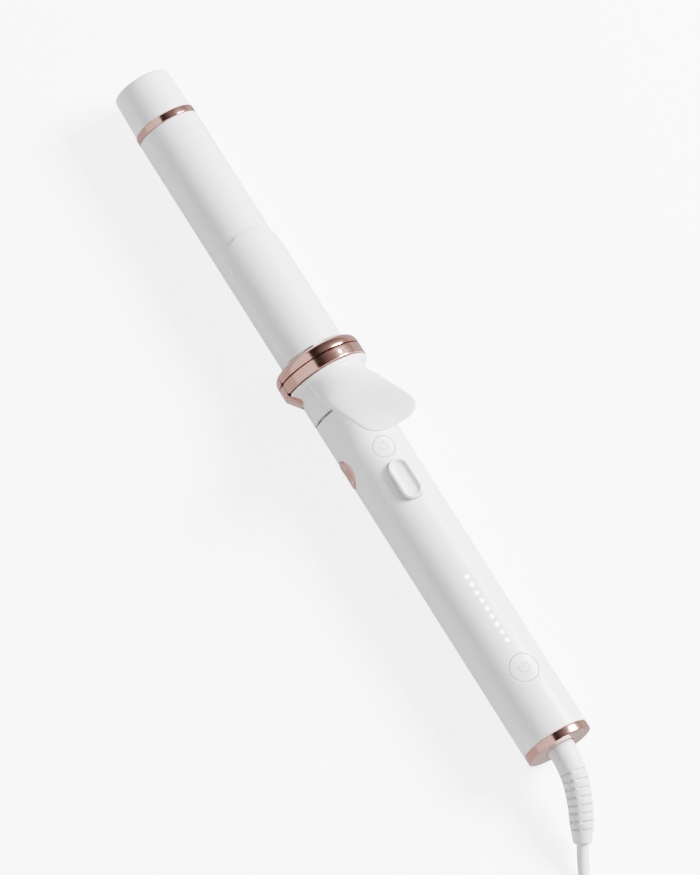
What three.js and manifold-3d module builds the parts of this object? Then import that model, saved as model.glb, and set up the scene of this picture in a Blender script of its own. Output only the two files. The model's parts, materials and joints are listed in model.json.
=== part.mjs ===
// Automatic hair curler: a motorised curling iron with a turning barrel, a hair clip,
// a thumb lever, press buttons and a coiled mains lead.
// Millimetres. The tool lies along X with its tip at +X, and its buttons face +Z.
// The origin is below the middle of its length, on the surface that it lies on.

import * as THREE from "three";
import { mergeVertices } from "three/addons/utils/BufferGeometryUtils.js";
import Module from "manifold-3d";

const wasm = await Module();
wasm.setup();

// ---- Driving dimensions ----

const LENGTH = 387; // tail cap to tip
const TAIL_X = -LENGTH / 2;
const GAP = 0.3; // clearance between neighbouring pieces
const SLIVER = 0.006; // edges shorter than this are closed up

const RING_R = 22.6; // the double ring, which the tool lies on
const AXIS_Z = RING_R; // height of the tool's axis

const HANDLE_R = 17.1;
const WALL = 1.8;
const INNER_R = HANDLE_R - WALL;
const TAIL_CAP_LENGTH = 4.1;
const CASING_END = 194.2; // where the casing stops, from the tail
const COLLAR_START = 195.2;

const LOWER_RING = [213.6, 219.3]; // distances from the tail
const UPPER_RING = [219.7, 225.4];

const BARREL_R = 15.9;
const BARREL_WALL = 1.4;
const BARREL_END = 360.3;
const TIP_RING = [360.6, 364.2];

const CLIP_END = 293; // free end of the clip
const CLIP_T = 1.3;
const CLIP_HALF_DEG = 68;
const CLIP_PIVOT = [226.6, 12.2]; // distance from the tail, height above the axis

const LEVER_PIVOT = [209, 0];
const LEVER_HALF_DEG = 100;
const FLARE_HALF_DEG = 79;

// The thumb rest's two faces, from its root to its free end, as [distance from tail, height
// above the axis].
const REST_TOP = [
  [213.2, 22], [207.5, 22.6], [202, 24.3], [197, 26.6], [192.9, 28.9], [187, 33.8], [181, 38.9],
  [174.7, 43.6], [170, 45.9], [167, 46.7], [164.5, 47],
];
const REST_UNDERSIDE = [
  [165, 44.4], [169.2, 42.9], [173.4, 40.4], [179.2, 35.4], [185, 30], [189.8, 25.2],
  [194, 21.4], [197.6, 20.1], [198, 16], [213.2, 16],
];
// Half of the thumb rest's outline from above, as [distance from tail, half width].
const REST_OUTLINE = [
  [213.2, 14], [207.5, 14.6], [202, 15.2], [197, 15.7], [192.9, 16], [187, 16.3], [181, 16.4],
  [174.7, 16.3], [170, 15.4], [167, 13.2], [165.2, 9.5], [164.5, 5],
];

const POWER = { at: 38.7, radius: 7.1 };
const MODE = { at: 166, radius: 5.4 };
const ROCKER = { at: 147, length: 22, width: 10.4 };
const LIGHTS = { first: 54.2, pitch: 4.54, count: 9, radius: 1 };
const MEDALLION = { at: 166, drop: 1.6, radius: 7.5 }; // drop below the axis, on the +Y side
const DOT = { at: 216.4, turn: 12.9, radius: 0.95 }; // degrees from straight up, towards -Y
const KEY_GAP = 0.35; // groove round a button

const SPINDLE_R = 6;
const SPINDLE_BORE_R = 4;
const MOTOR_R = 8.3;
const GEAR_MODULE = 0.8;
const RING_TEETH = 24;
const PINION_TEETH = 8;
const GEAR_CENTRES = ((RING_TEETH - PINION_TEETH) * GEAR_MODULE) / 2;
const GEAR_ZONE = [173.5, 178.5];

const CORD_R = 3;
const RELIEF_LENGTH = 48;
const RELIEF_R = [6.9, 4.4];
const HANK = { x: -354, straight: 96, turnRadii: [18, 24], layers: 4 };
const HANK_H = HANK.layers * 2 * CORD_R;
const HANK_OUTER_R = HANK.turnRadii[1] + CORD_R;
const HANK_INNER_R = HANK.turnRadii[0] - CORD_R;
const TIE_HALF = 6;
const PLUG = { nose: -386, y: 12, halfWidth: 9, height: 15, bladePitch: 12.7 };

// The free stretch of the lead, from the tail to the hank.
const CORD_ROUTE = [
  [-193.5, 0, 22.6],
  [-200, 0.2, 22.5],
  [-208, 1.2, 21.6],
  [-216, 3.2, 19.4],
  [-224, 6, 16.2],
  [-232, 9.4, 12.4],
  [-239.5, 13, 8.8],
  [-246.5, 16.4, 5.9],
  [-254, 19.6, 4],
  [-262, 22.2, 3.15],
  [-270, 23.5, 3.05],
  [-278, 24, 3.05],
  [-286, 24, 3.05],
  [-296, 24, 3.05],
  [-306, 24, 3.05],
];

// ---- Solids ----

function solid(geometry) {
  const bare = geometry.clone();
  bare.deleteAttribute("normal");
  bare.deleteAttribute("uv");
  const merged = mergeVertices(bare, 1e-4);
  const corners = merged.index.array;
  const kept = [];
  for (let i = 0; i < corners.length; i += 3) {
    const [a, b, c] = [corners[i], corners[i + 1], corners[i + 2]];
    if (a !== b && b !== c && c !== a) {
      kept.push(a, b, c);
    }
  }
  const build = (triVerts) =>
    new wasm.Manifold(
      new wasm.Mesh({
        numProp: 3,
        vertProperties: Float32Array.from(merged.attributes.position.array),
        triVerts: Uint32Array.from(triVerts),
      }),
    );
  const made = build(kept);
  if (made.volume() > 0) {
    return made;
  }
  return build(kept.reverse());
}

// x of a point a distance s from the tail.
const fromTail = (s) => s + TAIL_X;

// A body turned about the tool's axis, from [distance from tail, radius] points. A profile that
// doesn't start on the axis closes on itself.
function turned(profile, segments = 32) {
  const points = profile.map(([s, r]) => new THREE.Vector2(r, s));
  if (profile[0][1] > 0) {
    points.push(points[0].clone());
  }
  const geometry = new THREE.LatheGeometry(points, segments);
  geometry.rotateZ(-Math.PI / 2);
  geometry.translate(TAIL_X, 0, AXIS_Z);
  return solid(geometry);
}

const rod = (from, to, radius, segments) =>
  turned([[from, 0], [from, radius], [to, radius], [to, 0]], segments);

const pipe = (from, to, outer, inner, segments) =>
  turned([[from, inner], [from, outer], [to, outer], [to, inner]], segments);

// A box between two corners [distance from tail, y, height above the axis].
function block(low, high) {
  const size = high.map((v, i) => v - low[i]);
  const geometry = new THREE.BoxGeometry(...size);
  geometry.translate(
    fromTail((low[0] + high[0]) / 2),
    (low[1] + high[1]) / 2,
    AXIS_Z + (low[2] + high[2]) / 2,
  );
  return solid(geometry);
}

// A straight cylinder between two points in the object's own frame.
function bar(from, to, radius, segments) {
  const a = new THREE.Vector3(...from);
  const b = new THREE.Vector3(...to);
  const along = b.clone().sub(a);
  const geometry = new THREE.CylinderGeometry(radius, radius, along.length(), segments);
  const turn = new THREE.Quaternion().setFromUnitVectors(
    new THREE.Vector3(0, 1, 0),
    along.clone().normalize(),
  );
  geometry.applyQuaternion(turn);
  geometry.translate(...a.add(b).multiplyScalar(0.5).toArray());
  return solid(geometry);
}

// An upright cylinder over the tool's axis, between two heights above the axis.
const post = (s, y, low, high, radius, segments) =>
  bar([fromTail(s), y, AXIS_Z + low], [fromTail(s), y, AXIS_Z + high], radius, segments);

// A flat outline in the XY plane, pulled up between two heights above the axis.
function plate(outline, low, high) {
  const geometry = new THREE.ExtrudeGeometry(outline, {
    depth: high - low,
    bevelEnabled: false,
    curveSegments: 10,
  });
  geometry.translate(0, 0, AXIS_Z + low);
  return solid(geometry);
}

// A stadium-shaped outline centred on (x, y), long along X.
function stadium(x, y, straight, radius, Kind = THREE.Shape) {
  const outline = new Kind();
  outline.moveTo(x - straight / 2, y - radius);
  outline.lineTo(x + straight / 2, y - radius);
  outline.absarc(x + straight / 2, y, radius, -Math.PI / 2, Math.PI / 2, false);
  outline.lineTo(x - straight / 2, y + radius);
  outline.absarc(x - straight / 2, y, radius, Math.PI / 2, Math.PI * 1.5, false);
  return outline;
}

// A wedge about the axis, symmetric about straight up, that reaches halfDeg to each side.
function sector(from, to, halfDeg) {
  const reach = 60;
  const half = THREE.MathUtils.degToRad(halfDeg);
  const outline = new THREE.Shape();
  outline.moveTo(0, 0);
  const steps = 8;
  for (let i = 0; i <= steps; i += 1) {
    const angle = -half + (2 * half * i) / steps;
    outline.lineTo(reach * Math.sin(angle), reach * Math.cos(angle));
  }
  outline.closePath();
  const geometry = new THREE.ExtrudeGeometry(outline, { depth: to - from, bevelEnabled: false });
  // The outline's x becomes y, its y becomes z, and the depth runs along X.
  const basis = new THREE.Matrix4().makeBasis(
    new THREE.Vector3(0, 1, 0),
    new THREE.Vector3(0, 0, 1),
    new THREE.Vector3(1, 0, 0),
  );
  geometry.applyMatrix4(basis);
  geometry.translate(fromTail(from), 0, AXIS_Z);
  return solid(geometry);
}

const UPPER_HALF = block([-10, -60, 0.1], [LENGTH + 10, 60, 60]);
const LOWER_HALF = block([-10, -60, -60], [LENGTH + 10, 60, -0.1]);

// A cylinder along Y on the handle's +Y side, where the medallion sits.
function sideDisc(radius) {
  const z = AXIS_Z - MEDALLION.drop;
  return bar([fromTail(MEDALLION.at), 10, z], [fromTail(MEDALLION.at), 30, z], radius, 28);
}

// ---- Nodes ----

const tool = new THREE.Group();

const FINISH = {
  whiteShell: { color: 0xf1f1f2, roughness: 0.42, metalness: 0 },
  whiteBarrel: { color: 0xececed, roughness: 0.3, metalness: 0.1 },
  roseGold: { color: 0xc98d7c, roughness: 0.22, metalness: 1 },
  whiteRubber: { color: 0xe9e9ea, roughness: 0.7, metalness: 0 },
  lightDot: { color: 0xffffff, roughness: 0.5, metalness: 0 },
  steel: { color: 0xb9bcc0, roughness: 0.35, metalness: 1 },
  brass: { color: 0xc7a55a, roughness: 0.35, metalness: 1 },
  nylon: { color: 0xe4e0d6, roughness: 0.6, metalness: 0 },
  board: { color: 0x1f6b45, roughness: 0.6, metalness: 0 },
  ceramic: { color: 0xd8d2c6, roughness: 0.8, metalness: 0 },
  black: { color: 0x1c1c1e, roughness: 0.5, metalness: 0 },
};

function add(name, body, finish) {
  const { vertProperties, triVerts } = body.simplify(SLIVER).getMesh();
  const geometry = new THREE.BufferGeometry();
  geometry.setAttribute("position", new THREE.Float32BufferAttribute(vertProperties, 3));
  geometry.setIndex(Array.from(triVerts));
  geometry.computeVertexNormals();
  const mesh = new THREE.Mesh(geometry, new THREE.MeshStandardMaterial(FINISH[finish]));
  mesh.name = name;
  tool.add(mesh);
}

// The handle's casing: two half shells with openings for the controls, whose front edge is
// bevelled inwards so that the lever's collar can dip under it.
function addCasing() {
  const bevel = 2.5;
  const shell = turned(
    [
      [TAIL_CAP_LENGTH + GAP, INNER_R],
      [TAIL_CAP_LENGTH + GAP, HANDLE_R],
      [CASING_END, HANDLE_R],
      [CASING_END - bevel, INNER_R],
    ],
    36,
  );
  const medallionSeat = sideDisc(MEDALLION.radius + GAP);
  const rockerHole = stadium(
    fromTail(ROCKER.at),
    0,
    ROCKER.length - ROCKER.width,
    ROCKER.width / 2 + 0.4,
  );
  let top = shell
    .intersect(UPPER_HALF)
    .subtract(post(POWER.at, 0, 5, 25, POWER.radius + KEY_GAP, 28))
    .subtract(post(MODE.at, 0, 5, 25, MODE.radius + KEY_GAP, 28))
    .subtract(plate(rockerHole, 5, 25))
    .subtract(medallionSeat);
  for (let i = 0; i < LIGHTS.count; i += 1) {
    const at = LIGHTS.first + i * LIGHTS.pitch;
    top = top.subtract(post(at, 0, 5, 25, LIGHTS.radius + 0.2, 10));
  }
  add("casing_top", top, "whiteShell");

  let bottom = shell.intersect(LOWER_HALF).subtract(medallionSeat);
  for (const at of SCREW_PLACES) {
    bottom = bottom.subtract(post(at, 0, -30, -10, 1.5, 12));
  }
  add("casing_bottom", bottom, "whiteShell");

  const skin = pipe(MEDALLION.at - 9, MEDALLION.at + 9, HANDLE_R + 0.2, INNER_R + 0.2, 36);
  add("side_medallion", skin.intersect(sideDisc(MEDALLION.radius)), "roseGold");
}

const SCREW_PLACES = [24, 100];

function addScrews() {
  SCREW_PLACES.forEach((at, i) => {
    const head = post(at, 0, -HANDLE_R + 1.1, -HANDLE_R + 2.6, 1.25, 12);
    const shank = post(at, 0, -HANDLE_R + 2.5, -7.5, 0.8, 10);
    add(`casing_screw_${i + 1}`, head.add(shank), "steel");
  });
}

// The inner frame that carries the circuit board and the motor.
function addChassis() {
  const rails = block([22, -9, -3.4], [112, 9, -1.4]);
  const feet = block([22, -4, -7], [27, 4, -3.3]).add(block([97, -4, -7], [103, 4, -3.3]));
  const posts = [30, 60, 108].map((s) => block([s - 1.5, 5, -1.5], [s + 1.5, 8.5, 7.7]));
  const pairs = [30, 60, 108].map((s) => block([s - 1.5, -8.5, -1.5], [s + 1.5, -5, 7.7]));
  let frame = rails.add(feet);
  [...posts, ...pairs].forEach((p) => {
    frame = frame.add(p);
  });
  const clampBand = pipe(112, 118, MOTOR_R + 2, MOTOR_R + GAP, 24)
    .translate([0, 0, -GEAR_CENTRES])
    .intersect(rod(100, 130, INNER_R - GAP, 32));
  const motorRoom = rod(111.9, 130, MOTOR_R + GAP, 24).translate([0, 0, -GEAR_CENTRES]);
  const bridge = block([108, -7, -3.4], [113, 7, -1.4]).subtract(motorRoom);
  frame = frame.add(clampBand).add(bridge);
  SCREW_PLACES.forEach((at) => {
    frame = frame.subtract(post(at, 0, -20, -4.5, 1.1, 10));
  });
  add("chassis", frame, "nylon");
}

function addElectronics() {
  const board = block([26, -9.5, 8], [171.5, 9.5, 9.6]);
  add("main_board", board, "board");
  const switches = [
    ["power_switch", POWER.at],
    ["mode_switch", MODE.at],
    ["rocker_switch_fwd", ROCKER.at + 7],
    ["rocker_switch_back", ROCKER.at - 7],
  ];
  for (const [name, at] of switches) {
    add(name, block([at - 2, -2, 9.9], [at + 2, 2, 11.6]), "black");
  }
  const strip = block(
    [LIGHTS.first - 3, -2.5, 11],
    [LIGHTS.first + (LIGHTS.count - 1) * LIGHTS.pitch + 3, 2.5, 13.6],
  );
  let guide = strip;
  for (let i = 0; i < LIGHTS.count; i += 1) {
    const at = LIGHTS.first + i * LIGHTS.pitch;
    guide = guide.add(post(at, 0, 13, HANDLE_R + 0.05, LIGHTS.radius, 10));
  }
  add("light_guide", guide, "lightDot");
}

function addMotor() {
  const below = [0, 0, -GEAR_CENTRES];
  const can = rod(112.6, 142, MOTOR_R, 28).translate(below);
  add("motor_can", can, "steel");
  const box = rod(142.3, 168, MOTOR_R - 0.2, 28).translate(below).subtract(
    rod(160, 170, 1.9, 16).translate(below),
  );
  add("reduction_gearbox", box, "black");
}

// Spur teeth about the tool's axis, narrow enough to run free.
function gearTeeth({ count, rootR, tipR, rootHalf, tipHalf, turn }) {
  const [from, to] = GEAR_ZONE;
  const teeth = [];
  for (let i = 0; i < count; i += 1) {
    const angle = turn + (2 * Math.PI * i) / count;
    const point = (r, across) => [
      r * Math.sin(angle) + across * Math.cos(angle),
      r * Math.cos(angle) - across * Math.sin(angle),
    ];
    const outline = new THREE.Shape();
    outline.moveTo(...point(rootR, -rootHalf));
    outline.lineTo(...point(tipR, -tipHalf));
    outline.lineTo(...point(tipR, tipHalf));
    outline.lineTo(...point(rootR, rootHalf));
    outline.closePath();
    const geometry = new THREE.ExtrudeGeometry(outline, { depth: to - from, bevelEnabled: false });
    geometry.applyMatrix4(
      new THREE.Matrix4().makeBasis(
        new THREE.Vector3(0, 1, 0),
        new THREE.Vector3(0, 0, 1),
        new THREE.Vector3(1, 0, 0),
      ),
    );
    geometry.translate(fromTail(from), 0, AXIS_Z);
    teeth.push(solid(geometry));
  }
  return teeth;
}

function addGears() {
  const [from, to] = GEAR_ZONE;
  const ringPitch = (RING_TEETH * GEAR_MODULE) / 2;
  const pinionPitch = (PINION_TEETH * GEAR_MODULE) / 2;
  // The pinion has a tooth straight down, in a gap of the ring, which has no tooth there.
  let pinion = rod(162, 170.5, 1.5, 16).add(rod(170, to + 0.4, pinionPitch - 0.9, 20));
  const pinionTeeth = gearTeeth({
    count: PINION_TEETH,
    rootR: 1.5,
    tipR: pinionPitch + 0.5,
    rootHalf: 0.75,
    tipHalf: 0.28,
    turn: Math.PI,
  });
  for (const tooth of pinionTeeth) {
    pinion = pinion.add(tooth);
  }
  add("drive_pinion", pinion.translate([0, 0, -GEAR_CENTRES]), "brass");
  let ring = turned(
    [
      [from - 0.5, 12.6], [to + 1.8, 12.6], [to + 1.8, SPINDLE_R + 0.1], [to + 0.8, SPINDLE_R + 0.1],
      [to + 0.8, ringPitch + 0.9], [from - 0.5, ringPitch + 0.9],
    ],
    28,
  );
  const ringTeeth = gearTeeth({
    count: RING_TEETH,
    rootR: ringPitch + 1.2,
    tipR: ringPitch - 0.45,
    rootHalf: 0.7,
    tipHalf: 0.26,
    turn: Math.PI + Math.PI / RING_TEETH,
  });
  for (const tooth of ringTeeth) {
    ring = ring.add(tooth);
  }
  add("drive_ring_gear", ring, "nylon");
}

// The neck: a fixed tube in front of the casing, which the lever's collar surrounds.
function addNeck() {
  let neck = turned(
    [
      [184, 11.2], [184, INNER_R - GAP], [190.5, INNER_R - GAP], [190.5, 12.6], [213.6, 12.6],
      [213.6, 17], [219, 17], [219, 10.4], [190, 10.4], [190, 11.2],
    ],
    28,
  );
  const pinHoles = [-1, 1].map((side) =>
    bar(
      [fromTail(LEVER_PIVOT[0]), side * 9, AXIS_Z],
      [fromTail(LEVER_PIVOT[0]), side * 20, AXIS_Z],
      1.5,
      16,
    ),
  );
  pinHoles.forEach((hole) => {
    neck = neck.subtract(hole);
  });
  add("neck", neck, "whiteShell");

  // The fixed underside of the collar, below the lever's saddle.
  const under = pipe(COLLAR_START, 206.4, HANDLE_R, 15.6, 36)
    .subtract(sector(190, 215, LEVER_HALF_DEG + 9))
    .add(
      pipe(196, 206, 15.7, 12.9, 28).subtract(sector(190, 215, 150)),
    );
  add("collar_underside", under, "whiteShell");

  for (const [name, from, to] of [["rear_bearing", 191, 196], ["front_bearing", 213, 218]]) {
    add(name, pipe(from, to, 10.2, SPINDLE_R + 0.15, 28), "steel");
  }
  const brush = block([186.2, -4.4, -10.1], [189.3, 4.4, -8.1]);
  add("brush_block", brush, "black");
}

// The lower half of the double ring: its front half is cut flat, and its back half tapers
// down to the handle.
function addLowerRing() {
  const [from, to] = LOWER_RING;
  const edge = 0.5;
  const band = turned(
    [
      [from, 17.3], [from, RING_R - edge], [from + edge, RING_R], [to - edge, RING_R],
      [to, RING_R - edge], [to, 17.3],
    ],
    28,
  );
  const dotSeat = turnAboutAxis(post(DOT.at, 0, 20, 26, DOT.radius + 0.2, 14), DOT.turn);
  const front = band.intersect(sector(from - 1, to + 1, 80)).subtract(dotSeat);
  add("lower_ring_front", front, "roseGold");
  const dot = post(DOT.at, 0, 20.1, RING_R + 0.05, DOT.radius, 14);
  add("alignment_dot", turnAboutAxis(dot, DOT.turn), "lightDot");
  const skirted = turned(
    [
      [206.8, 17.2], [206.8, 17.5], [from - 1, RING_R - 0.6], [from, RING_R - 0.1],
      [from + edge, RING_R], [to - edge, RING_R], [to, RING_R - edge], [to, 17.3],
      [from - 0.6, 17.3],
    ],
    28,
  );
  const skirtRoom = sector(200, from, LEVER_HALF_DEG + 4);
  const back = skirted.subtract(sector(from - 10, to + 1, 81)).subtract(skirtRoom);
  add("lower_ring_back", back, "roseGold");
}

// Turns a body about the tool's axis, in degrees, positive from +Y towards +Z.
function turnAboutAxis(body, degrees) {
  return body.translate([0, 0, -AXIS_Z]).rotate([degrees, 0, 0]).translate([0, 0, AXIS_Z]);
}

// A closed outline through [distance from tail, height or half width] points.
function outlineThrough(points) {
  const outline = new THREE.Shape();
  points.forEach(([s, v], i) => {
    if (i === 0) {
      outline.moveTo(fromTail(s), v);
    } else {
      outline.lineTo(fromTail(s), v);
    }
  });
  outline.closePath();
  return outline;
}

// The thumb rest: its side view, its outline from above and a crown that follows the ring.
function thumbRest(facets) {
  const side = outlineThrough([...REST_TOP, ...REST_UNDERSIDE]);
  const slab = new THREE.ExtrudeGeometry(side, { depth: 60, bevelEnabled: false });
  slab.rotateX(Math.PI / 2);
  slab.translate(0, 30, AXIS_Z);
  const mirrored = REST_OUTLINE.map(([s, w]) => [s, -w]).reverse();
  const outline = outlineThrough([...REST_OUTLINE, ...mirrored]);
  const crown = turned(
    [[160, 0], [160, 80], [196, 34], [207, 22.6], [213.2, 22.1], [213.2, 0]],
    facets,
  );
  return solid(slab).intersect(plate(outline, 5, 60)).intersect(crown);
}

// The thumb lever: a saddle that wraps the neck, a flared root under the ring, and the thumb
// rest over the handle. It turns on two stub pins in the neck.
function addLever() {
  const facets = 36;
  const inner = 15.5;
  const saddle = pipe(COLLAR_START, 212.2, HANDLE_R, inner, facets);
  const flared = turned(
    [
      [COLLAR_START, inner], [COLLAR_START, HANDLE_R], [205.5, HANDLE_R], [209.5, 18.8],
      [212.9, 21.9], [213.2, 22], [213.2, 19.6], [212.2, inner],
    ],
    facets,
  );
  const rest = thumbRest(facets).subtract(rod(190, 216, inner + 0.6, facets));
  const pivot = (y) => [fromTail(LEVER_PIVOT[0]), y, AXIS_Z + LEVER_PIVOT[1]];
  const lever = saddle
    .intersect(sector(190, 215, LEVER_HALF_DEG))
    .add(flared.intersect(sector(190, 215, FLARE_HALF_DEG)))
    .add(rest)
    .add(bar(pivot(-10.7), pivot(-16), 1.3, 16))
    .add(bar(pivot(10.7), pivot(16), 1.3, 16));
  add("thumb_lever", lever, "whiteShell");

  const springs = [
    ["lever_spring_left", 1],
    ["lever_spring_right", -1],
  ];
  for (const [name, side] of springs) {
    const coil = bar(pivot(side * 12.9), pivot(side * 15.2), 2.7, 18);
    const eye = bar(pivot(side * 12), pivot(side * 16), 1.6, 18);
    add(name, coil.subtract(eye), "steel");
  }
}

function addButtons() {
  const cap = (at, radius) =>
    rod(at - 10, at + 10, HANDLE_R - 0.05, 36)
      .intersect(post(at, 0, 14.1, 20, radius, 28))
      .add(post(at, 0, 11.9, 14.3, 1.4, 14));
  add("power_button", cap(POWER.at, POWER.radius), "whiteShell");
  add("mode_button", cap(MODE.at, MODE.radius), "whiteShell");

  const straight = ROCKER.length - ROCKER.width;
  const key = stadium(fromTail(ROCKER.at), 0, straight, ROCKER.width / 2);
  const trough = stadium(fromTail(ROCKER.at), 0, straight + 1.5, ROCKER.width / 2 - 2);
  let rocker = plate(key, 15, HANDLE_R + 1.9)
    .subtract(plate(trough, HANDLE_R + 0.9, HANDLE_R + 4))
    .add(block([ROCKER.at - 1.5, -2.5, 13.2], [ROCKER.at + 1.5, 2.5, 15.2]));
  for (const end of [-7, 7]) {
    rocker = rocker.add(post(ROCKER.at + end, 0, 12.8, 15.2, 1.1, 12));
  }
  add("rocker_key", rocker, "whiteShell");
}

// ---- The turning head ----

// A cylinder along Y on the clip's pivot.
function onClipPin(from, to, radius) {
  const [s, height] = CLIP_PIVOT;
  const place = (y) => [fromTail(s), y, AXIS_Z + height];
  return bar(place(from), place(to), radius, 18);
}

function addBarrel() {
  const tube = pipe(UPPER_RING[1] + 1.2, BARREL_END, BARREL_R, BARREL_R - BARREL_WALL, 28);
  const clipSlot = block([0, -7.4, 8], [229.8, 7.4, 30]);
  add("barrel_tube", tube.subtract(clipSlot), "whiteBarrel");

  const [from, to] = TIP_RING;
  const tipRing = turned(
    [
      [from, 9], [from, 15.6], [from + 0.3, BARREL_R], [to - 0.3, BARREL_R], [to, 15.6], [to, 9],
    ],
    28,
  );
  add("tip_ring", tipRing, "roseGold");
  const cap = turned(
    [
      [348, 0], [348, 8.2], [to + GAP, 8.2], [to + GAP, 15.4], [367, 15.5], [384.5, 14.9],
      [386.2, 14.2], [LENGTH, 12.6], [LENGTH, 0],
    ],
    28,
  );
  const hollow = turned([[340, 0], [340, 6.5], [383, 6.5], [383, 0]], 24);
  add("tip_cap", cap.subtract(hollow), "whiteShell");

  add("front_heater_holder", pipe(340, 345, BARREL_R - BARREL_WALL - 0.1, 6.3, 32), "nylon");
  add("rear_heater_holder", pipe(240, 245, BARREL_R - BARREL_WALL - 0.1, 6.3, 32), "nylon");
  add("heater_core", pipe(236, 347, 6, 3.4, 24), "ceramic");
  add("temperature_sensor", rod(288, 300, 1.2, 12).translate([0, 0, -7.6]), "black");

  // The hub: a flange that holds the barrel, on a hollow spindle that runs in the bearings.
  let hub = turned(
    [
      [181, SPINDLE_BORE_R], [181, SPINDLE_R], [219.6, SPINDLE_R], [219.6, 17], [225.2, 17],
      [225.2, 14.2], [234, 14.2], [234, SPINDLE_BORE_R],
    ],
    28,
  );
  hub = hub.subtract(block([224.6, -4.6, 8], [229.8, 4.6, 20])).subtract(onClipPin(-9, 9, 0.95));
  add("barrel_hub", hub, "nylon");
  add("slip_ring_drum", pipe(185.5, 190, 7.8, SPINDLE_R + 0.1, 28), "brass");

  const [low, high] = UPPER_RING;
  const ring = turned(
    [
      [low, 17.3], [low, 21.9], [low + 0.9, RING_R], [high - 2.6, RING_R], [high - 1.1, 21.9],
      [high - 0.3, 20.7], [high, 19.2], [high, 17.3],
    ],
    28,
  );
  add("upper_ring_front", ring.intersect(sector(low - 1, high + 1, 80)), "roseGold");
  add("upper_ring_back", ring.subtract(sector(low - 1, high + 1, 81)), "roseGold");
}

function addClip() {
  const inner = BARREL_R + GAP;
  const outer = inner + CLIP_T;
  const blade = turned(
    [
      [226.7, inner], [226.7, outer], [CLIP_END - 2, outer], [CLIP_END, inner + 0.5],
      [CLIP_END, inner],
    ],
    44,
  );
  const reach = (BARREL_R + 3) * Math.sin(THREE.MathUtils.degToRad(CLIP_HALF_DEG));
  const end = fromTail(CLIP_END);
  const outline = new THREE.Shape();
  outline.moveTo(fromTail(226), -reach);
  outline.lineTo(end - 14, -reach);
  outline.bezierCurveTo(end - 5, -reach, end, -10, end, 0);
  outline.bezierCurveTo(end, 10, end - 5, reach, end - 14, reach);
  outline.lineTo(fromTail(226), reach);
  outline.closePath();
  // The heel runs down through a slot in the barrel to the pivot pin.
  const heel = block([226.7, -2.8, CLIP_PIVOT[1] - 1.7], [229, 2.8, BARREL_R + 1]);
  const clip = blade
    .intersect(sector(220, 300, CLIP_HALF_DEG))
    .intersect(plate(outline, 0, 28))
    .add(heel.add(onClipPin(-2.8, 2.8, 1.8)))
    .subtract(onClipPin(-6, 6, 0.95));
  add("hair_clip", clip, "whiteBarrel");
  add("clip_pin", onClipPin(-7, 7, 0.8), "steel");
  add("clip_spring_left", onClipPin(3.1, 4.4, 1.35).subtract(onClipPin(3, 5, 0.95)), "steel");
  add("clip_spring_right", onClipPin(-3.1, -4.4, 1.35).subtract(onClipPin(-3, -5, 0.95)), "steel");
}

// ---- Tail and mains lead ----

function addTail() {
  const cap = turned(
    [
      [0, 7.3], [0, HANDLE_R - 0.6], [0.6, HANDLE_R], [TAIL_CAP_LENGTH, HANDLE_R],
      [TAIL_CAP_LENGTH, 14.6], [7, 14.6], [7, 12.8], [2.4, 12.8], [2.4, 7.3],
    ],
    36,
  );
  add("tail_cap", cap, "roseGold");

  const curve = new THREE.CatmullRomCurve3(CORD_ROUTE.map((p) => new THREE.Vector3(...p)));
  const length = curve.getLength();
  const sleeve = new THREE.CylinderGeometry(RELIEF_R[1], RELIEF_R[0], 1, 12, 8);
  const place = sleeve.attributes.position;
  for (let i = 0; i < place.count; i += 1) {
    const share = place.getY(i) + 0.5;
    const at = Math.min((share * RELIEF_LENGTH) / length, 1);
    const centre = curve.getPointAt(at);
    const along = curve.getTangentAt(at);
    const across = new THREE.Vector3(0, 0, 1).cross(along).normalize();
    const up = along.clone().cross(across);
    centre.addScaledVector(across, place.getX(i)).addScaledVector(up, place.getZ(i));
    place.setXYZ(i, centre.x, centre.y, centre.z);
  }
  // A collar inside the cap keeps the sleeve from being pulled out.
  const root = rod(-1, 3.5, RELIEF_R[0], 24);
  const collar = rod(2.8, 6, 11, 24);
  add("strain_relief", solid(sleeve).add(root).add(collar), "whiteRubber");

  const start = (RELIEF_LENGTH + GAP) / length;
  const end = 1 - 20.5 / length;
  const points = [];
  for (let i = 0; i <= 14; i += 1) {
    points.push(curve.getPointAt(start + ((end - start) * i) / 14));
  }
  const section = new THREE.Shape();
  section.absarc(0, 0, CORD_R, 0, Math.PI * 2);
  const tube = new THREE.ExtrudeGeometry(section, {
    steps: 14,
    curveSegments: 10,
    extrudePath: new THREE.CatmullRomCurve3(points),
  });
  add("cord_free_stretch", solid(tube), "whiteRubber");
}

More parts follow.
